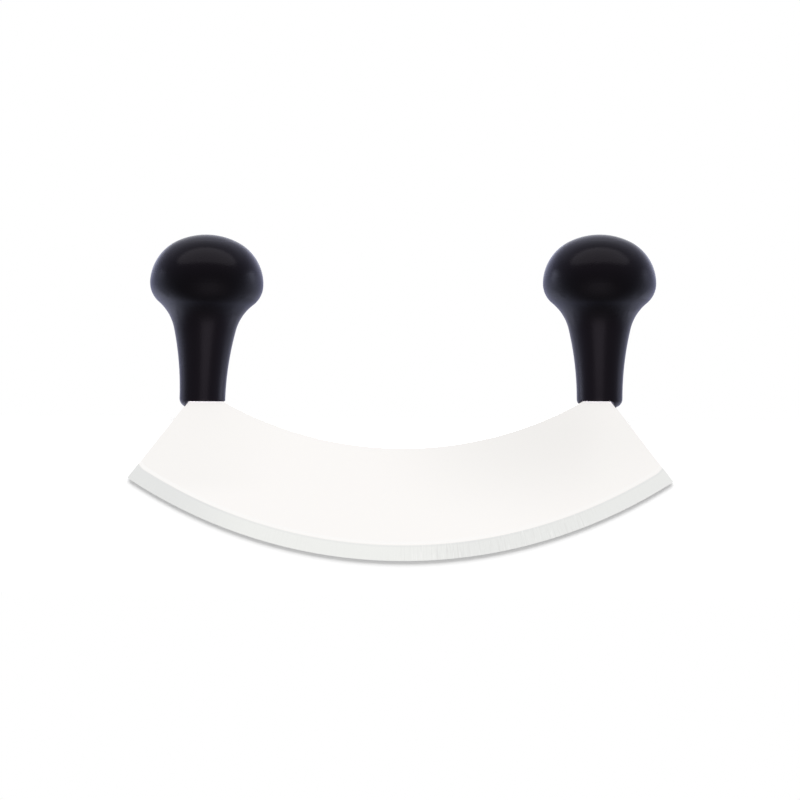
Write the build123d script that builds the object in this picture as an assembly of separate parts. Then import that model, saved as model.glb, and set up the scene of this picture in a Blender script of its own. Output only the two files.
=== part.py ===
from build123d import *
import math
import os

# A rocking mincing knife: one crescent blade with a tang at each end, and a knob handle
# moulded round each tang.
#
# The origin is the lowest point of the cutting edge. X runs from tip to tip, Y through the
# blade's thickness and Z up towards the knobs. All lengths are in millimetres. Heights on a
# handle, and on the tang inside it, are counted from the handle's mouth, which is where the
# blade comes out of the plastic.

# Blade
blade_length = 262.2        # straight across, from tip to tip
blade_depth = 54.4          # from the cutting edge up to the spine, at mid length
edge_radius = 240.0         # of the curve that the blade rocks on
spine_radius = 176.0
ground_thickness = 2.5      # between the ground faces
stock_thickness = 2.7       # of the sheet, which the tangs keep
tip_rounding = 0.6
edge_break = 0.25           # chamfer along the spine and the two ends

# Cutting edge, ground alike from both faces
bevel_width = 7.6           # from the cutting edge up to the grind line
hone_width = 0.6            # of the narrow sharpened facet at the foot of the bevel
hone_thickness = 0.5        # of the blade where that facet starts
edge_thickness = 0.1        # left at the cutting edge itself
run_out_rise = 1.7          # how far the grind line turns up at each end of the blade
run_out_radius = 10.0       # of that turn
run_out_lead = 0.05         # by which the turn starts clear of the grind line

# Tangs
tang_inset = 35.75          # from each tip in to its tang's centre line
tang_width = 8.6
tang_length = 52.0
tang_corner = 3.0           # rounding of the two top corners
root_rise = 0.6             # of the blade's shoulders above the mouths
inner_shoulder = 3.05       # from the tang out to the spine
outer_shoulder = 0.8        # from the tang out to the end of the blade
root_rounding = 0.5
anchor_hole_diameter = 4.5  # the plastic runs through these holes, which locks the handle
anchor_first_height = 12.0
anchor_end_distance = 10.0  # from the last hole up to the end of the tang
anchor_count = 3

# Handles
knob_radius = 27.2          # of the knob's widest circle
knob_height = 56.5
dome_height = 23.6          # from the widest circle up to the top
crown_share = 0.56          # how flat the dome's crown is: its end tangent against the shoulder's
underside_rounding = 12.1   # below the widest circle
throat_rounding = 22.7      # of the hollow between the knob and the stem
stem_sweep = 146.0          # of the stem's long flare, which starts upright at the mouth
mouth_radius = 11.0
rim_drop = 3.0              # how far the rounded rim reaches below the mouth, beside the blade
rim_rounding = 4.2

# Set of the two handles on this knife
left_lean = 1.75            # degrees from upright, towards the middle of the blade
right_lean = 0.45
left_drop = 1.4             # of the left handle's mouth below the right one's

overrun = 2.0               # by which cutting shapes pass the faces that they cut

# Places that the pieces share
tip_x = blade_length / 2
tip_level = edge_radius - math.sqrt(edge_radius**2 - tip_x**2)
tang_center = tip_x - tang_inset
tang_inner = tang_center - tang_width / 2
tang_outer = tang_center + tang_width / 2
spine_end = tang_inner - inner_shoulder
shoulder_level = blade_depth + spine_radius - math.sqrt(spine_radius**2 - spine_end**2)
mouth_level = shoulder_level - root_rise
tang_top = mouth_level + tang_length

# Each handle's side of the middle, its lean and the level of its mouth
handle_sets = {
    "left_handle": (-1, left_lean, mouth_level - left_drop),
    "right_handle": (1, right_lean, mouth_level),
}


def upright(face):
    """The flat face, drawn in X and Z, stood up in the blade's plane."""
    return Plane.XZ * face


def corners_at(face, places):
    """The face's corners that lie nearest to the given places."""
    return [face.vertices().sort_by_distance(Vector(x, z))[0] for x, z in places]


def blank_face():
    """The flat shape that the blade and both tangs are cut to, seen from the front."""
    right_side = [
        (spine_end, shoulder_level),
        (tang_inner, shoulder_level),
        (tang_inner, tang_top),
        (tang_outer, tang_top),
        (tang_outer, shoulder_level),
        (tang_outer + outer_shoulder, shoulder_level),
        (tip_x, tip_level),
    ]
    left_side = [(-x, z) for x, z in right_side]
    face = make_face([
        ThreePointArc(left_side[0], (0, blade_depth), right_side[0]),
        Polyline(*right_side),
        ThreePointArc(right_side[-1], (0, 0), left_side[-1]),
        Polyline(*left_side),
    ])
    face = fillet(corners_at(face, [right_side[-1], left_side[-1]]), tip_rounding)
    for side in (right_side, left_side):
        face = fillet(corners_at(face, side[2:4]), tang_corner)
        face = fillet(corners_at(face, [side[1], side[4]]), root_rounding)
    return face


def covered_area():
    """All that lies above the mouths, each handle's half of the knife up from its own mouth."""
    reach = blade_length
    halves = [Pos(side * reach / 2, level + reach / 2) * Rectangle(reach, reach)
              for side, lean, level in handle_sets.values()]
    return Sketch() + halves


def ground_disc(front):
    """A disc about Y, alike on both sides, from radii and the half thickness at each."""
    back = [(radius, -half) for radius, half in reversed(front)]
    return revolve(make_face(Polyline(*front, *back, close=True)), Axis.Y)


def grinding_envelope():
    """A disc that the grinding leaves the blade inside of: flat, then thinning to the edge.

    It turns about the centre of the cutting edge's curve, so that the bevel has the same
    width all the way.
    """
    front = [
        (0, ground_thickness / 2),
        (edge_radius - bevel_width, ground_thickness / 2),
        (edge_radius - hone_width, hone_thickness / 2),
        (edge_radius, edge_thickness / 2),
        (edge_radius + overrun, edge_thickness / 2),
    ]
    return Pos(0, 0, edge_radius) * ground_disc(front)


def run_out(side):
    """What the wheel takes off at one end of the blade, where the grind line turns up.

    It is all that lies outside a wide cone on each face. The cone meets the face in the
    turned grind line and is less steep than the bevel, so it ends above the honed facet.
    """
    grind_radius = edge_radius - bevel_width
    length = math.sqrt(run_out_rise * (2 * run_out_radius - run_out_rise))
    start = math.degrees(math.asin(tip_x / edge_radius) - length / grind_radius)
    width = bevel_width - hone_width + run_out_rise
    foot = run_out_radius + width
    apex = (hone_thickness + (ground_thickness - hone_thickness) * foot / width) / 2
    cones = ground_disc([(0, apex), (foot, hone_thickness / 2), (2 * foot, hone_thickness / 2)])
    block = Pos(side * foot / 2, 0, -foot / 2) * Box(foot, ground_thickness + overrun, foot)
    center = Pos(0, 0, run_out_radius - grind_radius - run_out_lead)
    return Pos(0, 0, edge_radius) * Rot(0, -side * start, 0) * center * (block - cones)


def tangs():
    """The part of the blank inside the handles, with the holes that anchor them."""
    solid = extrude(upright(blank_face() & covered_area()), stock_thickness / 2, both=True)
    hole = Rot(90, 0, 0) * Cylinder(anchor_hole_diameter / 2, stock_thickness + overrun)
    first = mouth_level + anchor_first_height
    pitch = (tang_top - anchor_end_distance - first) / (anchor_count - 1)
    for side in (-1, 1):
        for index in range(anchor_count):
            solid -= Pos(side * tang_center, 0, first + index * pitch) * hole
    return solid


def blade():
    """The blade and its tangs in one piece."""
    ground = extrude(upright(blank_face() - covered_area()), ground_thickness / 2, both=True)
    sides = ground.edges().filter_by(Axis.Y, reverse=True)
    top = mouth_level - left_drop - overrun
    ground = chamfer(sides.filter_by(lambda edge: tip_level < edge.center().Z < top), edge_break)
    ground = (ground & grinding_envelope()) - run_out(-1) - run_out(1)
    return ground + tangs()


def lower_crossing(center_a, radius_a, center_b, radius_b):
    """The lower of the two points where two circles cross, the second one lying to the right."""
    span = center_b - center_a
    along = (radius_a**2 - radius_b**2 + span.length**2) / (2 * span.length)
    across = math.sqrt(radius_a**2 - along**2)
    direction = span.normalized()
    return center_a + direction * along + direction.rotate(Axis.Z, -90) * across


def dome_lines(top, widest):
    """The crown and the shoulder of the knob, two arcs tangent to each other.

    Each arc lies in the corner of its two end tangents, which are equally long. The crown's
    are crown_share of the shoulder's, and one tangent of each meets the other's at the joint.
    """
    reach = crown_share * knob_radius + dome_height
    square = knob_radius**2 + dome_height**2
    tangent_length = (math.sqrt(reach**2 + 2 * crown_share * square) - reach) / (2 * crown_share)
    crown_corner = top + Vector(crown_share * tangent_length, 0)
    shoulder_corner = widest + Vector(0, tangent_length)
    joint = (crown_corner + shoulder_corner * crown_share) * (1 / (1 + crown_share))
    crown = TangentArc(top, joint, tangent=(1, 0))
    return [crown, TangentArc(joint, widest, tangent=crown % 1)]


def waist_lines(widest, stem_foot):
    """The knob's underside, the throat and the stem, three arcs tangent to each other."""
    underside_center = widest - Vector(underside_rounding, 0)
    stem_center = stem_foot + Vector(stem_sweep, 0)
    throat_center = lower_crossing(underside_center, underside_rounding + throat_rounding,
                                   stem_center, stem_sweep - throat_rounding)
    throat_start = (underside_center
                    + (throat_center - underside_center).normalized() * underside_rounding)
    throat_end = stem_center + (throat_center - stem_center).normalized() * stem_sweep
    underside = TangentArc(widest, throat_start, tangent=(0, -1))
    throat = TangentArc(throat_start, throat_end, tangent=underside % 1)
    return [underside, throat, TangentArc(throat_end, stem_foot, tangent=throat % 1)]


def turned_handle():
    """The handle's outer form, with its mouth at the origin, turned about Z."""
    top = Vector(0, knob_height + dome_height)
    widest = Vector(knob_radius, knob_height)
    stem_foot = Vector(mouth_radius, rim_rounding - rim_drop)
    rim_end = Vector(mouth_radius - rim_rounding, -rim_drop)
    rim = TangentArc(stem_foot, rim_end, tangent=(0, -1))
    core = Polyline(rim_end, (0, -rim_drop), top)
    profile = make_face([*dome_lines(top, widest), *waist_lines(widest, stem_foot), rim, core])
    return revolve(upright(profile), Axis.Z)


def handle(side, lean, level):
    """A handle moulded round one tang. Beside the blade its rim reaches below the mouth."""
    solid = Pos(side * tang_center, 0, level) * Rot(0, -side * lean, 0) * turned_handle()
    blade_gap = extrude(upright(blank_face() - covered_area()), mouth_radius + overrun, both=True)
    return solid - (blade_gap + tangs())


def main():
    os.makedirs("parts", exist_ok=True)
    export_step(blade(), "parts/blade.step")
    for name, (side, lean, level) in handle_sets.items():
        export_step(handle(side, lean, level), f"parts/{name}.step")


main()
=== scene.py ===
"""A two-handled mincing knife in front of white paper.

Lengths are in metres. X runs from tip to tip, Y through the blade's thickness, away from the
camera, and Z up from the lowest point of the cutting edge to the knobs.
"""

import logging
import math
from collections.abc import Mapping, Sequence
from dataclasses import dataclass
from enum import Enum

import bpy
from mathutils import Matrix, Vector

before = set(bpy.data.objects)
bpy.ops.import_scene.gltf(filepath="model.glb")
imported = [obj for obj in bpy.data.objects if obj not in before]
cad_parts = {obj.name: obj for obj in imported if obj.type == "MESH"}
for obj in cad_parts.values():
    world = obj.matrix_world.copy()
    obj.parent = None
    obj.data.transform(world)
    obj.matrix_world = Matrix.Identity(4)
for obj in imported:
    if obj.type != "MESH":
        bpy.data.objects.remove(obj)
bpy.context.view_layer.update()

LOG = logging.getLogger("mincing_knife")
PATTERN_MIDDLE = 0.5

Color = tuple[float, float, float]
Point = tuple[float, float]
Span = tuple[float, float]


class Arithmetic(Enum):
    """The Math node operations that the finishes use."""

    ADD = "ADD"
    SUBTRACT = "SUBTRACT"
    MULTIPLY = "MULTIPLY"
    MAXIMUM = "MAXIMUM"
    ABSOLUTE = "ABSOLUTE"
    ARCTAN2 = "ARCTAN2"


class Lit(Enum):
    """What a lamp lights."""

    BLADE = "blade"
    HANDLES = "handles"
    LEFT_HANDLE = "left_handle"
    RIGHT_HANDLE = "right_handle"
    PAPER = "paper"


@dataclass(frozen=True)
class Pattern:
    """A soft random pattern that stays between about 0.3 and 0.7.

    Attributes:
        scale: How fine it is, per unit of the place that it is laid on.
        detail: How many finer layers it has.
        roughness: How strong these are.
    """

    scale: float
    detail: float
    roughness: float = 0.5


class Field:
    """A number, colour or vector that varies over a surface: one output socket of a node."""

    def __init__(self, graph: "Graph", socket: bpy.types.NodeSocket) -> None:
        """Wraps a socket.

        Args:
            graph: The graph that the socket's node belongs to.
            socket: The output socket.
        """
        self.graph = graph
        self.socket = socket

    def output(self, name: str) -> "Field":
        """Another output of the same node."""
        return Field(self.graph, pick(self.socket.node.outputs, name))

    def combined(self, operation: Arithmetic, first: "Field | float",
                 second: "Field | float") -> "Field":
        """Adds a Math node.

        Args:
            operation: What the node works out.
            first: Its first value.
            second: Its second value.

        Returns:
            The node's result.
        """
        return self.graph.add("ShaderNodeMath", {"operation": operation.value},
                              {"Value": first, "Value_001": second})

    def __add__(self, other: "Field | float") -> "Field":
        """The sum."""
        return self.combined(Arithmetic.ADD, self, other)

    __radd__ = __add__

    def __sub__(self, other: "Field | float") -> "Field":
        """The difference."""
        return self.combined(Arithmetic.SUBTRACT, self, other)

    def __rsub__(self, other: float) -> "Field":
        """The difference, taken from a plain number."""
        return self.combined(Arithmetic.SUBTRACT, other, self)

    def __mul__(self, other: "Field | float") -> "Field":
        """The product."""
        return self.combined(Arithmetic.MULTIPLY, self, other)

    __rmul__ = __mul__

    def __abs__(self) -> "Field":
        """The size, without its sign."""
        return self.graph.add("ShaderNodeMath", {"operation": Arithmetic.ABSOLUTE.value},
                              {"Value": self})


def pick(sockets: Sequence[bpy.types.NodeSocket], name: str) -> bpy.types.NodeSocket:
    """The socket with this identifier, or with this name.

    Args:
        sockets: A node's inputs or outputs.
        name: An identifier or a name. Identifiers go first, because names can repeat.

    Returns:
        The socket.
    """
    for socket in sockets:
        if socket.identifier == name:
            return socket
    return sockets[name]


class Graph:
    """The node tree of one material or of the world."""

    def __init__(self, owner: bpy.types.Material | bpy.types.World) -> None:
        """Empties the owner's node tree, to fill it anew.

        Args:
            owner: The material or the world.
        """
        owner.use_nodes = True
        self.tree = owner.node_tree
        self.tree.nodes.clear()

    def add(self, kind: str, settings: Mapping[str, object] | None = None,
            sockets: Mapping[str, object] | None = None) -> Field | None:
        """Adds a node.

        Args:
            kind: The node's type.
            settings: The node's own properties, set first.
            sockets: A plain value or a Field for each input socket that is named.

        Returns:
            The node's first output, or None where it has none.
        """
        node = self.tree.nodes.new(kind)
        for name, value in (settings or {}).items():
            setattr(node, name, value)
        for name, value in (sockets or {}).items():
            socket = pick(node.inputs, name)
            if isinstance(value, Field):
                self.tree.links.new(value.socket, socket)
            else:
                socket.default_value = value
        return Field(self, node.outputs[0]) if len(node.outputs) else None

    def rise(self, value: Field, start: float, end: float) -> Field:
        """A smooth step from 0, where value is at start or before it, to 1 at end."""
        return self.add("ShaderNodeMapRange", {"interpolation_type": "SMOOTHSTEP"},
                        {"Value": value, "From Min": start, "From Max": end})

    def fall(self, value: Field, start: float, end: float) -> Field:
        """A smooth step from 1, where value is at start or before it, to 0 at end."""
        return 1.0 - self.rise(value, start, end)

    def largest(self, first: Field, second: Field) -> Field:
        """The larger of two numbers."""
        return first.combined(Arithmetic.MAXIMUM, first, second)

    def angle(self, across: Field, along: Field) -> Field:
        """The angle, in radians, of a direction that goes so far across and so far along."""
        return across.combined(Arithmetic.ARCTAN2, across, along)

    def blend(self, share: Field, first: Field | Color, second: Field | Color) -> Field:
        """Mixes two colours.

        Args:
            share: 0 for the first colour and 1 for the second.
            first: The first colour.
            second: The second colour.

        Returns:
            The mixed colour.
        """
        sides = {name: side if isinstance(side, Field) else (*side, 1.0)
                 for name, side in (("A_Color", first), ("B_Color", second))}
        mixed = self.add("ShaderNodeMix", {"data_type": "RGBA"},
                         {"Factor_Float": share, **sides})
        return mixed.output("Result_Color")

    def noise(self, place: Field, pattern: Pattern) -> Field:
        """A random pattern, laid on the given place of each surface point."""
        return self.add("ShaderNodeTexNoise", None,
                        {"Vector": place, "Scale": pattern.scale, "Detail": pattern.detail,
                         "Roughness": pattern.roughness})

    def place(self) -> tuple[Field, Field, Field, Field]:
        """The surface point in the knife's own frame, as a vector and as X, Y and Z."""
        vector = self.add("ShaderNodeTexCoord").output("Object")
        parts = self.add("ShaderNodeSeparateXYZ", None, {"Vector": vector})
        return vector, parts, parts.output("Y"), parts.output("Z")

    def facing(self) -> Field:
        """How squarely the surface faces the front or the back, from 0 to 1."""
        normal = self.add("ShaderNodeTexCoord").output("Normal")
        return abs(self.add("ShaderNodeSeparateXYZ", None, {"Vector": normal}).output("Y"))

    def vector(self, x: Field | float, y: Field | float, z: Field | float) -> Field:
        """A vector from its three parts."""
        return self.add("ShaderNodeCombineXYZ", None, {"X": x, "Y": y, "Z": z})

    def length(self, vector: Field) -> Field:
        """A vector's length."""
        return self.add("ShaderNodeVectorMath", {"operation": "LENGTH"},
                        {"Vector": vector}).output("Value")

    def distance(self, place: Field, center: tuple[float, float, float]) -> Field:
        """The distance from a fixed centre."""
        return self.add("ShaderNodeVectorMath", {"operation": "DISTANCE"},
                        {"Vector": place, "Vector_001": center}).output("Value")

    def bump(self, height: Field, depth: float) -> Field:
        """Surface normals for a fine relief of the given depth in metres."""
        return self.add("ShaderNodeBump", None,
                        {"Height": height, "Distance": depth, "Strength": 1.0})

    def mirror_ray(self, path: Field) -> Field:
        """1 for a ray from a mirroring or clear surface, unless it met a matte one before.

        Args:
            path: An output of a Light Path node.

        Returns:
            The share, which is 0 or less for all other rays.
        """
        mirrored = path.output("Is Glossy Ray") + path.output("Is Transmission Ray")
        return mirrored * (1.0 - path.output("Diffuse Depth"))

    def finish(self, kind: str, surface: Field) -> None:
        """Ends the tree in its output node, of the given type, with this surface."""
        self.add(kind, None, {"Surface": surface})


@dataclass(frozen=True)
class Spot:
    """A surface point of the blade.

    Attributes:
        place: The point as a vector.
        x: Its X.
        y: Its Y.
        z: Its Z.
        radial: Its distance from the centre of the edge's curve.
        turn: Its angle about that centre, from the middle of the blade, in radians.
        below: Its distance from the grind line down towards the edge, negative on the flat face.
    """

    place: Field
    x: Field
    y: Field
    z: Field
    radial: Field
    turn: Field
    below: Field


@dataclass(frozen=True)
class BladeForm:
    """Where the blade's edge and grind line run, with the turn up at each end of the line."""

    blade_length: float = 0.2622
    edge_radius: float = 0.240
    bevel_width: float = 0.0076
    run_out_rise: float = 0.0017
    run_out_radius: float = 0.010
    run_out_lead: float = 0.00005
    run_out_seam: float = 0.0001

    def grind_radius(self) -> float:
        """Radius of the grind line, about the centre of the edge's curve."""
        return self.edge_radius - self.bevel_width

    def run_out_start(self) -> float:
        """Angle from the middle of the blade, about that centre, at which the turn starts."""
        length = math.sqrt(self.run_out_rise * (2 * self.run_out_radius - self.run_out_rise))
        return math.asin(self.blade_length / 2 / self.edge_radius) - length / self.grind_radius()

    def run_out_level(self) -> float:
        """Distance from that centre to the centre of the turn."""
        return self.grind_radius() - self.run_out_radius + self.run_out_lead

    def run_out_center(self) -> Point:
        """X and Z of the centre of the right-hand turn."""
        return (math.sin(self.run_out_start()) * self.run_out_level(),
                self.edge_radius - math.cos(self.run_out_start()) * self.run_out_level())

    def below_grind_line(self, graph: Graph, x: Field, z: Field, radial: Field,
                         turn: Field) -> Field:
        """The distance from the grind line down towards the edge, run-outs included.

        Args:
            graph: The finish's nodes.
            x: The surface point's X.
            z: Its Z.
            radial: Its distance from the centre of the edge's curve.
            turn: Its angle about that centre.

        Returns:
            The distance, negative on the flat face.
        """
        start, level, seam = self.run_out_start(), self.run_out_level(), self.run_out_seam
        center_x, center_z = self.run_out_center()
        apart = graph.distance(graph.vector(abs(x), 0.0, z), (center_x, 0.0, center_z))
        at_end = (graph.rise(abs(turn), start - seam, start + seam)
                  * graph.rise(radial, level - seam, level))
        # Away from the run-outs this is -1 m, less than the other distance anywhere on the knife.
        turned = (apart - self.run_out_radius + 1.0) * at_end - 1.0
        return graph.largest(radial - self.grind_radius(), turned)

    def spot(self, graph: Graph) -> Spot:
        """Finds where each surface point lies.

        Args:
            graph: The finish's nodes.

        Returns:
            The surface point.
        """
        place, x, y, z = graph.place()
        radial = graph.length(graph.vector(x, 0.0, z - self.edge_radius))
        turn = graph.angle(x, self.edge_radius - z)
        return Spot(place, x, y, z, radial, turn, self.below_grind_line(graph, x, z, radial, turn))


@dataclass(frozen=True)
class GroundSteel:
    """Satin ground blade steel, with the grinding marks that cross the bevel.

    A span holds the two values between which something comes in or fades out, and a share
    says how strong it is at most.
    """

    # Colours
    face_color: Color = (0.966, 0.946, 0.928)
    # shade_color: painted shade on the flat faces
    shade_color: Color = (0.876, 0.860, 0.842)
    # painted highlight colour, for the line along the grind line and for the glints
    painted_highlight_color: Color = (0.972, 0.962, 0.950)
    # bevel_color: the bevel's ground steel, darkened with painted shade
    bevel_color: Color = (0.862, 0.868, 0.846)
    # painted shade on the bevel
    bevel_shade_color: Color = (0.778, 0.784, 0.776)
    scratch_color: Color = (0.765, 0.768, 0.755)
    cut_color: Color = (0.340, 0.337, 0.331)

    # Roughness
    face_roughness: float = 0.18
    bevel_roughness: float = 0.28
    cut_roughness: float = 0.60

    # The faces, by how squarely they face, and the bevel, by the distance below the grind line
    facing_span: Span = (0.20, 0.45)
    grind_line_span: Span = (-0.00005, 0.00005)

    # Painted shade: a darker area on the right half of a flat face, round a centre given as X and Z
    shade_center: Point = (0.074, 0.062)
    shade_reach: float = 0.105
    shade_flatness: float = 2.0
    shade_end_span: Span = (0.080, 0.105)
    shade_end_share: float = 0.3

    # Painted shade: a darker area at the left end, along X and along Z; and soft clouds of random tone
    # everywhere
    left_shade_span: Span = (0.045, 0.100)
    left_shade_height_span: Span = (0.028, 0.040)
    left_shade_share: float = 0.32
    cloud_pattern: Pattern = Pattern(14.0, 1.0)
    cloud_share: float = 0.25

    # Painted highlight: a brighter line on the flat face, along the grind line, which fades along X
    rim_start_span: Span = (-0.0022, -0.0014)
    rim_end_span: Span = (-0.0007, -0.0003)
    rim_share: float = 0.7
    rim_fade_span: Span = (0.020, 0.060)
    rim_fade_share: float = 0.4

    # Painted shade: darker stretches of the bevel, by the angle in degrees, and a darker line below
    # the grind line
    bevel_left_shade_span: Span = (-29.0, -16.0)
    bevel_right_shade_span: Span = (2.0, 9.0)
    bevel_right_shade_share: float = 0.5
    grind_line_shade_middle: float = 0.0006
    grind_line_shade_span: Span = (0.0002, 0.0006)
    grind_line_shade_share: float = 0.35

    # Grinding marks across the bevel, clearest on one stretch along X, with painted glints among them
    scratch_spacing: float = 0.0009
    scratch_stretch: float = 60.0
    scratch_pattern: Pattern = Pattern(1.0, 3.0, 0.7)
    scratch_span: Span = (0.46, 0.64)
    scratch_share: float = 0.85
    glint_pattern: Pattern = Pattern(1.7, 2.0, 0.6)
    glint_span: Span = (0.60, 0.68)
    glint_share: float = 0.55
    patch_pattern: Pattern = Pattern(40.0, 1.0)
    patch_span: Span = (0.30, 0.60)
    worked_start_span: Span = (-0.010, 0.015)
    worked_end_span: Span = (0.085, 0.105)
    worked_least: float = 0.2

    # Streaks along the cut spine and ends, and the fine grain of the flat faces
    streak_stretch: float = 60.0
    streak_fineness: float = 2500.0
    streak_pattern: Pattern = Pattern(1.0, 2.0)
    streak_span: Span = (0.35, 0.65)
    streak_share: float = 0.25
    grain_stretch: float = 300.0
    grain_fineness: float = 4000.0
    grain_pattern: Pattern = Pattern(1.0, 2.0)
    grain_depth: float = 0.000004

    def material(self, form: BladeForm) -> bpy.types.Material:
        """Makes the finish.

        Args:
            form: Where the blade's edge and grind line run.

        Returns:
            The material.
        """
        material = bpy.data.materials.new("satin_ground_steel")
        graph = Graph(material)
        spot = form.spot(graph)
        cut = graph.fall(graph.facing(), *self.facing_span)
        bevel = graph.rise(spot.below, *self.grind_line_span) * (1.0 - cut)
        across = graph.vector(spot.turn * (form.edge_radius / self.scratch_spacing),
                              spot.radial * self.scratch_stretch, 0.0)
        scratches = graph.rise(graph.noise(across, self.scratch_pattern), *self.scratch_span)

        ground = self.ground_bevel(graph, spot, across, scratches)
        color = graph.blend(bevel, self.flat_face(graph, spot), ground)
        color = graph.blend(cut, color, self.cut_edge(graph, spot))

        lines = graph.vector(spot.x * self.grain_stretch, 0.0, spot.z * self.grain_fineness)
        grain = graph.noise(lines, self.grain_pattern)
        relief = grain * (1.0 - bevel) * (1.0 - cut) + scratches * bevel
        roughness = (self.face_roughness + (self.bevel_roughness - self.face_roughness) * bevel
                     + (self.cut_roughness - self.face_roughness) * cut)
        surface = graph.add("ShaderNodeBsdfPrincipled", None, {
            "Base Color": color,
            "Metallic": 1.0,
            "Roughness": roughness,
            "Normal": graph.bump(relief, self.grain_depth),
        })
        graph.finish("ShaderNodeOutputMaterial", surface)
        return material

    def flat_face(self, graph: Graph, spot: Spot) -> Field:
        """The colour of the flat faces, with painted shade and a painted highlight along the grind
        line.

        Args:
            graph: The finish's nodes.
            spot: The surface point.

        Returns:
            The colour.
        """
        shaded = graph.blend(self.face_shade(graph, spot), self.face_color, self.shade_color)
        # Painted highlight along the grind line
        rim = graph.rise(spot.below, *self.rim_start_span) * graph.fall(spot.below, *self.rim_end_span)
        share = self.rim_share - graph.rise(spot.x, *self.rim_fade_span) * self.rim_fade_share
        return graph.blend(rim * share, shaded, self.painted_highlight_color)

    def face_shade(self, graph: Graph, spot: Spot) -> Field:
        """The painted shade on the flat face: most on its right half, a little at its left end.

        Args:
            graph: The finish's nodes.
            spot: The surface point.

        Returns:
            The share of the darker colour.
        """
        center_x, center_z = self.shade_center
        apart = graph.length(graph.vector(spot.x - center_x, 0.0,
                                          (spot.z - center_z) * self.shade_flatness))
        end = graph.rise(spot.x, *self.shade_end_span) * self.shade_end_share
        right = graph.fall(apart, 0.0, self.shade_reach) * (1.0 - end)
        left = (graph.rise(0.0 - spot.x, *self.left_shade_span)
                * graph.rise(spot.z, *self.left_shade_height_span) * self.left_shade_share)
        clouds = graph.noise(spot.place, self.cloud_pattern) - PATTERN_MIDDLE
        return right + left + clouds * self.cloud_share

    def ground_bevel(self, graph: Graph, spot: Spot, across: Field, scratches: Field) -> Field:
        """The colour of the bevel, with painted shade and painted glints among its grinding marks.

        Args:
            graph: The finish's nodes.
            spot: The surface point.
            across: Its place on the pattern of the grinding marks.
            scratches: These marks, 1 in a deep one.

        Returns:
            The colour.
        """
        # Painted shade along stretches of the bevel and just below the grind line
        painted_left_shade = graph.fall(spot.turn, *map(math.radians, self.bevel_left_shade_span))
        painted_right_shade = graph.rise(spot.turn, *map(math.radians, self.bevel_right_shade_span))
        painted_bevel_shade = painted_left_shade + painted_right_shade * self.bevel_right_shade_share
        painted_grind_line_shade = graph.fall(abs(spot.below - self.grind_line_shade_middle), *self.grind_line_shade_span)
        color = graph.blend(painted_bevel_shade + painted_grind_line_shade * self.grind_line_shade_share, self.bevel_color, self.bevel_shade_color)

        stretch = (graph.rise(spot.x, *self.worked_start_span)
                   * graph.fall(spot.x, *self.worked_end_span))
        worked = stretch * (1.0 - self.worked_least) + self.worked_least
        patches = graph.rise(graph.noise(spot.place, self.patch_pattern), *self.patch_span)
        marked = scratches * worked * patches
        color = graph.blend(marked * self.scratch_share, color, self.scratch_color)
        # Painted glints among the grinding marks
        glints = graph.rise(graph.noise(across, self.glint_pattern), *self.glint_span) * worked
        return graph.blend(glints * self.glint_share, color, self.painted_highlight_color)

    def cut_edge(self, graph: Graph, spot: Spot) -> Field:
        """The colour of the cut spine and ends.

        Args:
            graph: The finish's nodes.
            spot: The surface point.

        Returns:
            The colour.
        """
        lines = graph.vector(spot.x * self.streak_stretch, spot.y * self.streak_fineness,
                             spot.z * self.streak_stretch)
        streaks = graph.rise(graph.noise(lines, self.streak_pattern), *self.streak_span)
        return graph.blend(streaks * self.streak_share, self.cut_color, self.bevel_color)


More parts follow.
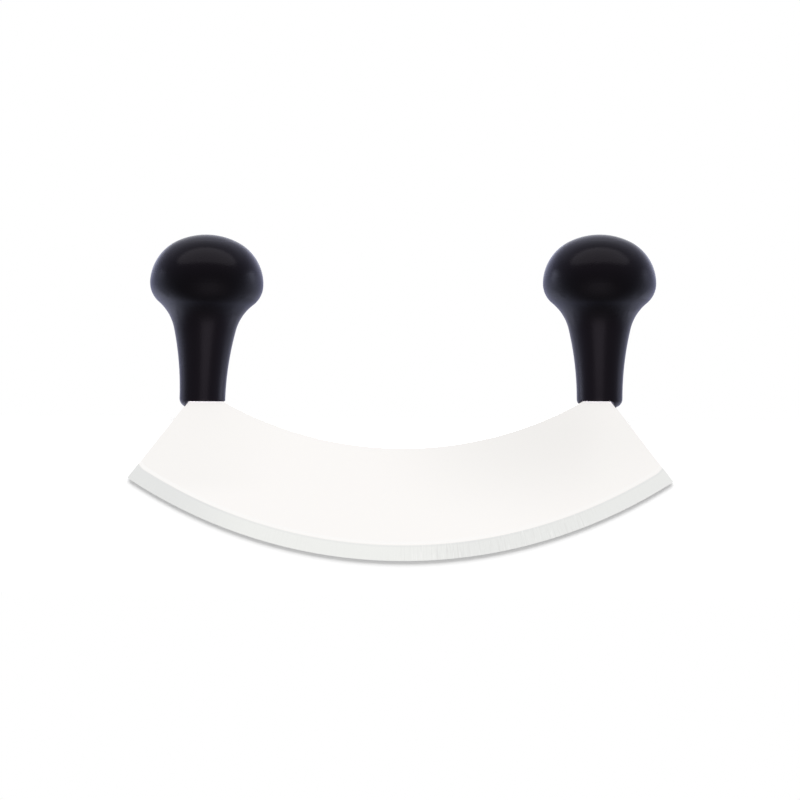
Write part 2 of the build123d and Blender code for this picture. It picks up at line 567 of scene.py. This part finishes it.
@dataclass(frozen=True)
class MouldedPlastic:
    """Satin black plastic with a fine moulded grain.

    Its crown is smoother, a belt round the widest part of the knob is rougher and darkened by
    painted shade, and a painted sheen makes the stem a little lighter. Heights are counted from
    the cutting edge.
    """

    # Colours
    color: Color = (0.0026, 0.0020, 0.0028)
    # painted sheen that makes the stem a little lighter
    painted_stem_sheen_color: Color = (0.0032, 0.0026, 0.0036)
    # painted shade that darkens the belt round the knob's widest part
    painted_belt_shade_color: Color = (0.0008, 0.0006, 0.0009)

    # Gloss
    roughness: float = 0.32
    belt_roughness: float = 0.52
    crown_roughness: float = 0.17
    cloud_roughness: float = 0.08
    specular_level: float = 0.030

    # Where each lies, the belt's span counted up and down from its middle
    crown_span: Span = (0.128, 0.146)
    belt_middle: float = 0.128
    belt_span: Span = (0.002, 0.018)
    stem_span: Span = (0.106, 0.124)
    stem_wander: float = 0.008
    cloud_pattern: Pattern = Pattern(40.0, 2.0)

    # Bloom and grain
    bloom_weight: float = 0.20
    bloom_roughness: float = 0.35
    bloom_tint: Color = (0.58, 0.64, 1.0)
    grain_size: float = 0.0006
    grain_detail: float = 3.0
    grain_depth: float = 0.00003

    def material(self) -> bpy.types.Material:
        """Makes the finish.

        Returns:
            The material.
        """
        material = bpy.data.materials.new("moulded_black_plastic")
        graph = Graph(material)
        place, _, _, z = graph.place()
        grain = graph.noise(place, Pattern(1.0 / self.grain_size, self.grain_detail))
        cloud = graph.noise(place, self.cloud_pattern) - PATTERN_MIDDLE
        stem = graph.fall(z + cloud * self.stem_wander, *self.stem_span)
        belt = graph.fall(abs(z - self.belt_middle), *self.belt_span)
        crown = graph.rise(z, *self.crown_span)
        # Painted sheen: the stem's colour is a little lighter
        color = graph.blend(stem, self.color, self.painted_stem_sheen_color)
        surface = graph.add("ShaderNodeBsdfPrincipled", None, {
            # Painted shade darkens the belt round the knob's widest part
            "Base Color": graph.blend(belt, color, self.painted_belt_shade_color),
            "Roughness": (self.roughness + cloud * self.cloud_roughness
                          + belt * (1.0 - crown) * (self.belt_roughness - self.roughness)
                          + crown * (self.crown_roughness - self.roughness)),
            "Specular IOR Level": self.specular_level,
            "Sheen Weight": self.bloom_weight,
            "Sheen Roughness": self.bloom_roughness,
            "Sheen Tint": (*self.bloom_tint, 1.0),
            "Normal": graph.bump(grain, self.grain_depth),
        })
        graph.finish("ShaderNodeOutputMaterial", surface)
        return material


@dataclass(frozen=True)
class Blade:
    """The crescent blade with its two tangs."""

    form: BladeForm = BladeForm()
    steel: GroundSteel = GroundSteel()

    def dress(self) -> bpy.types.Object:
        """Gives the blade its finish.

        Returns:
            The blade.
        """
        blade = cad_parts["blade"]
        blade.material_slots[0].material = self.steel.material(self.form)
        return blade


@dataclass(frozen=True)
class Handle:
    """A knob handle moulded round one tang."""

    node: str

    def dress(self, material: bpy.types.Material) -> bpy.types.Object:
        """Gives the handle its finish.

        Args:
            material: The plastic.

        Returns:
            The handle.
        """
        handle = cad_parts[self.node]
        handle.material_slots[0].material = material
        return handle


@dataclass(frozen=True)
class WhitePaper:
    """Matte white paper that catches the shadow under the edge and is white in reflections.

    It is seen from its front side only.

    Attributes:
        color: Its colour.
        shown_light: Glow that is added where the camera sees it.
        mirrored_light: Glow that mirroring surfaces see.
    """

    color: Color = (0.97, 0.97, 0.97)
    shown_light: float = 0.12
    mirrored_light: float = 1.0

    def material(self) -> bpy.types.Material:
        """Makes the finish.

        Returns:
            The material.
        """
        material = bpy.data.materials.new("white_paper")
        graph = Graph(material)
        seen = graph.add("ShaderNodeLightPath")
        lit = graph.add("ShaderNodeBsdfDiffuse", None, {"Color": (*self.color, 1.0)})
        lift = graph.add("ShaderNodeEmission", None, {"Strength": self.shown_light})
        lifted = graph.add("ShaderNodeAddShader", None, {"Shader": lit, "Shader_001": lift})
        shown = graph.add("ShaderNodeMixShader", None,
                          {"Fac": seen, "Shader": lit, "Shader_001": lifted})
        glow = graph.add("ShaderNodeEmission", None, {"Strength": self.mirrored_light})
        front = graph.add("ShaderNodeMixShader", None,
                          {"Fac": graph.mirror_ray(seen), "Shader": shown, "Shader_001": glow})
        clear = graph.add("ShaderNodeBsdfTransparent")
        behind = graph.add("ShaderNodeNewGeometry").output("Backfacing")
        surface = graph.add("ShaderNodeMixShader", None,
                            {"Fac": behind, "Shader": front, "Shader_001": clear})
        graph.finish("ShaderNodeOutputMaterial", surface)
        return material


@dataclass(frozen=True)
class PaperStage:
    """A sheet of paper close behind the blade, and a paper floor behind the sheet."""

    gap: float = 0.00145
    sheet_width: float = 0.60
    sheet_bottom: float = -0.016
    sheet_top: float = 0.068
    floor_width: float = 1.2
    floor_depth: float = 0.7
    paper: WhitePaper = WhitePaper()

    def lay(self, name: str, width: float, lower: Point, upper: Point,
            material: bpy.types.Material) -> bpy.types.Object:
        """Lays one flat sheet, which faces the camera's side or upwards.

        Args:
            name: The sheet's name.
            width: Its width along X.
            lower: Y and Z of its lower or nearer edge.
            upper: Y and Z of its upper or further edge.
            material: Its finish.

        Returns:
            The sheet.
        """
        corners = [(side * width / 2, y, z) for side, (y, z) in
                   ((-1, lower), (1, lower), (1, upper), (-1, upper))]
        mesh = bpy.data.meshes.new(name)
        mesh.from_pydata(corners, [], [(0, 1, 2, 3)])
        mesh.materials.append(material)
        sheet = bpy.data.objects.new(name, mesh)
        bpy.context.scene.collection.objects.link(sheet)
        sheet.visible_shadow = False
        return sheet

    def build(self) -> list[bpy.types.Object]:
        """Makes both sheets.

        Returns:
            The sheets.
        """
        material = self.paper.material()
        return [
            self.lay("paper_sheet", self.sheet_width, (self.gap, self.sheet_bottom),
                     (self.gap, self.sheet_top), material),
            self.lay("paper_floor", self.floor_width, (self.gap, 0.0), (self.floor_depth, 0.0),
                     material),
        ]


@dataclass(frozen=True)
class Softbox:
    """A softbox that faces the middle of the knife.

    Attributes:
        name: Its name.
        bearing: Where it hangs, in degrees from the camera's side towards +X.
        height: Its height over level, in degrees.
        size: Its width and its height.
        brightness: That of its cloth, where white paper in full light is 1.
        distance: How far off it hangs.
        color: Its light's colour.
        lit: The pieces that it lights.
        rounded: Whether it is an ellipse and not a rectangle.
    """

    name: str
    bearing: float
    height: float
    size: Point
    brightness: float
    distance: float = 3.0
    color: Color = (1.0, 1.0, 1.0)
    lit: Lit = Lit.BLADE
    rounded: bool = False

    def hang(self, target: Vector) -> bpy.types.Object:
        """Makes the lamp.

        Args:
            target: The point that it faces.

        Returns:
            The lamp.
        """
        light = bpy.data.lights.new(self.name, "AREA")
        light.shape = "ELLIPSE" if self.rounded else "RECTANGLE"
        light.size, light.size_y = self.size
        light.energy = self.brightness * math.pi * self.size[0] * self.size[1]
        light.color = self.color
        lamp = bpy.data.objects.new(self.name, light)
        bearing, height = math.radians(self.bearing), math.radians(self.height)
        direction = Vector((math.sin(bearing) * math.cos(height),
                            -math.cos(bearing) * math.cos(height), math.sin(height)))
        lamp.location = target + direction * self.distance
        lamp.rotation_mode = "QUATERNION"
        lamp.rotation_quaternion = (-direction).to_track_quat("-Z", "Y")
        lamp.visible_camera = False
        bpy.context.scene.collection.objects.link(lamp)
        return lamp


@dataclass(frozen=True)
class SideLight:
    """Cool softboxes on one side of the knife, brighter on the inner flank of a handle.

    Attributes:
        name: The side's name.
        side: -1 for the left and 1 for the right.
        near: The handle on this side, which shows them its outer flank.
        far: The handle on the other side, which shows them its inner flank.
        low_brightness: That of the low softbox.
        outer_brightness: That of the strip that lights the near handle.
        inner_brightness: That of the strip that lights the far handle.
        strip_bearing: Where both strips hang, in degrees from the camera's side.
        strip_size: Their width and height.
        low_bearing: Where the low softbox hangs.
        low_height: Its height over level, in degrees.
        low_size: Its width and height.
        color: The colour of all their light.
    """

    name: str
    side: int
    near: Lit
    far: Lit
    low_brightness: float
    outer_brightness: float = 4.0
    inner_brightness: float = 12.0
    strip_bearing: float = 108.0
    strip_size: Point = (1.0, 2.0)
    low_bearing: float = 132.0
    low_height: float = -26.0
    low_size: Point = (1.2, 1.4)
    color: Color = (0.76, 0.79, 1.0)

    def softboxes(self) -> tuple[Softbox, ...]:
        """The two strips and the low softbox."""
        strip = self.side * self.strip_bearing
        return (
            Softbox(f"{self.name}_outer_strip", bearing=strip, height=0.0, size=self.strip_size,
                    brightness=self.outer_brightness, color=self.color, lit=self.near),
            Softbox(f"{self.name}_inner_strip", bearing=strip, height=0.0, size=self.strip_size,
                    brightness=self.inner_brightness, color=self.color, lit=self.far),
            Softbox(f"{self.name}_low_softbox", bearing=self.side * self.low_bearing,
                    height=self.low_height, size=self.low_size,
                    brightness=self.low_brightness, color=self.color, lit=Lit.HANDLES),
        )


@dataclass(frozen=True)
class Studio:
    """Plain soft light on white surroundings.

    Attributes:
        daylight: The light that the surroundings give.
        surroundings: How bright the camera and mirroring surfaces see them.
        middle: The point that every lamp faces.
        softboxes: The lamps.
    """

    daylight: float = 0.50
    surroundings: float = 1.0
    middle: tuple[float, float, float] = (0.0, 0.0, 0.08)
    softboxes: tuple[Softbox, ...] = (
        Softbox("paper_softbox", bearing=0.0, height=57.0, size=(3.0, 1.7), brightness=6.6,
                lit=Lit.PAPER),
        Softbox("top_softbox", bearing=0.0, height=58.0, size=(3.4, 0.9), brightness=4.4),
        Softbox("high_softbox", bearing=0.0, height=76.0, size=(3.4, 0.9), brightness=7.4),
        Softbox("overhead_softbox", bearing=180.0, height=86.0, size=(3.4, 0.9), brightness=3.0),
        Softbox("ceiling_softbox", bearing=0.0, height=75.0, size=(7.0, 2.60), brightness=3.6,
                distance=3.1, color=(0.96, 0.91, 1.0), lit=Lit.HANDLES, rounded=True),
        Softbox("rear_ceiling_softbox", bearing=180.0, height=78.0, size=(7.0, 4.0),
                brightness=0.30, lit=Lit.HANDLES, rounded=True),
        *SideLight("left", side=-1, near=Lit.LEFT_HANDLE, far=Lit.RIGHT_HANDLE,
                   low_brightness=29.0).softboxes(),
        *SideLight("right", side=1, near=Lit.RIGHT_HANDLE, far=Lit.LEFT_HANDLE,
                   low_brightness=22.0).softboxes(),
        Softbox("front_softbox", bearing=3.0, height=-24.0, size=(0.60, 0.76), brightness=6.4,
                distance=0.8, color=(0.95, 0.84, 1.0), lit=Lit.HANDLES),
    )

    def world(self) -> None:
        """White surroundings for the camera and for reflections, and softer light for the rest."""
        world = bpy.data.worlds.new("white_studio")
        bpy.context.scene.world = world
        graph = Graph(world)
        seen = graph.add("ShaderNodeLightPath")
        soft, white = (
            graph.add("ShaderNodeBackground", None,
                      {"Color": (1.0, 1.0, 1.0, 1.0), "Strength": strength})
            for strength in (self.daylight, self.surroundings))
        surface = graph.add("ShaderNodeMixShader", None, {
            "Fac": seen + graph.mirror_ray(seen), "Shader": soft, "Shader_001": white})
        graph.finish("ShaderNodeOutputWorld", surface)

    def build(self, pieces: Mapping[Lit, Sequence[bpy.types.Object]]) -> None:
        """Makes the world and hangs the lamps.

        Args:
            pieces: The objects that each kind of lamp lights.
        """
        self.world()
        receivers = {}
        for lit, members in pieces.items():
            receivers[lit] = bpy.data.collections.new(f"lit_{lit.value}")
            for member in members:
                receivers[lit].objects.link(member)
        for softbox in self.softboxes:
            lamp = softbox.hang(Vector(self.middle))
            lamp.light_linking.receiver_collection = receivers[softbox.lit]


@dataclass(frozen=True)
class PhotographersView:
    """The camera, square to the blade, with the knife turned slightly clockwise in the picture.

    Attributes:
        distance: How far off it stands.
        picture_width: What the picture takes in at the blade.
        aim: X and Z of the picture's middle.
        turn: How far the camera is turned, in degrees.
        sensor: The sensor's width in millimetres.
        clip_end: How far it sees.
    """

    distance: float = 3.0
    picture_width: float = 0.384
    aim: Point = (-0.00046, 0.07733)
    turn: float = 0.43
    sensor: float = 36.0
    clip_end: float = 20.0

    def build(self) -> None:
        """Makes the camera and sets it as the scene's camera."""
        data = bpy.data.cameras.new("photographers_view")
        data.sensor_width = self.sensor
        data.lens = self.sensor * self.distance / self.picture_width
        data.clip_end = self.clip_end
        camera = bpy.data.objects.new("photographers_view", data)
        bpy.context.scene.collection.objects.link(camera)
        look = Vector((0.0, 1.0, 0.0)).to_track_quat("-Z", "Y").to_matrix().to_4x4()
        place = Matrix.Translation((self.aim[0], -self.distance, self.aim[1]))
        camera.matrix_world = place @ look @ Matrix.Rotation(math.radians(self.turn), 4, "Z")
        bpy.context.scene.camera = camera


def main() -> None:
    """Builds the scene."""
    bpy.context.scene.view_settings.view_transform = "Standard"
    PhotographersView().build()
    paper = PaperStage().build()
    blade = Blade().dress()
    plastic = MouldedPlastic().material()
    left, right = (Handle(node).dress(plastic) for node in ("left_handle", "right_handle"))
    for piece in (blade, left, right):
        LOG.info("dressed %s", piece.name)
    Studio().build({
        Lit.BLADE: (blade,),
        Lit.HANDLES: (left, right),
        Lit.LEFT_HANDLE: (left,),
        Lit.RIGHT_HANDLE: (right,),
        Lit.PAPER: paper,
    })


if __name__ == "__main__":
    logging.basicConfig(level=logging.INFO)
    main()
